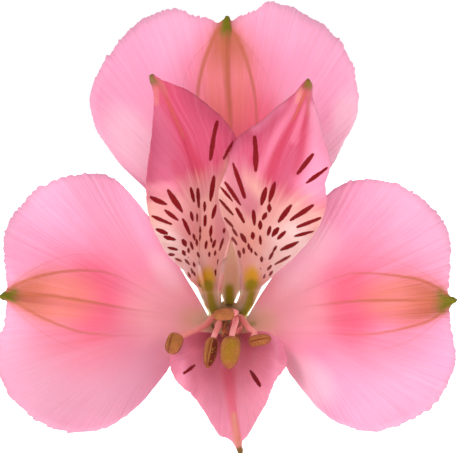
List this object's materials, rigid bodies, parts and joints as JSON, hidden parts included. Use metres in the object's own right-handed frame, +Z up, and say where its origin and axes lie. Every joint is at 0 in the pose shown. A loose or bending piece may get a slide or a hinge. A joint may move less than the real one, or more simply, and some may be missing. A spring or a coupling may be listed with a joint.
{
  "type": "single cut alstroemeria bloom on its pedicel",
  "caption": "Single open alstroemeria bloom, pink with a maroon-streaked throat, lying on its side on its own short pedicel.",
  "frame": {"origin": "middle of the bounding box's foot, on the surface that the bloom lies on", "axes": "+Z up from the surface, -Y out of the bloom's face (tilted 11 degrees upwards), +Y towards the pedicel's cut end, +X to the right of the face"},
  "size_m": [0.0728, 0.1056, 0.0659],
  "materials": {
    "outer_tepal": "satin petal, light pink with a salmon centre",
    "inner_tepal": "satin petal, rose over cream with maroon streaks",
    "filament": "satin, pink",
    "anther": "matte, ochre brown with pollen",
    "style": "satin, pale pink",
    "ovary": "satin plant tissue, green",
    "pedicel": "satin plant tissue, green"
  },
  "bodies": {
    "root": {"outer_tepal_top": "outer_tepal", "outer_tepal_left": "outer_tepal", "outer_tepal_right": "outer_tepal", "inner_tepal_upper_left": "inner_tepal", "inner_tepal_upper_right": "inner_tepal", "inner_tepal_lower": "inner_tepal", "filament_1": "filament", "anther_1": "anther", "filament_2": "filament", "anther_2": "anther", "filament_3": "filament", "anther_3": "anther", "filament_4": "filament", "anther_4": "anther", "filament_5": "filament", "anther_5": "anther", "filament_6": "filament", "anther_6": "anther", "style": "style", "ovary": "ovary", "pedicel": "pedicel"}
  },
  "joints": []
}
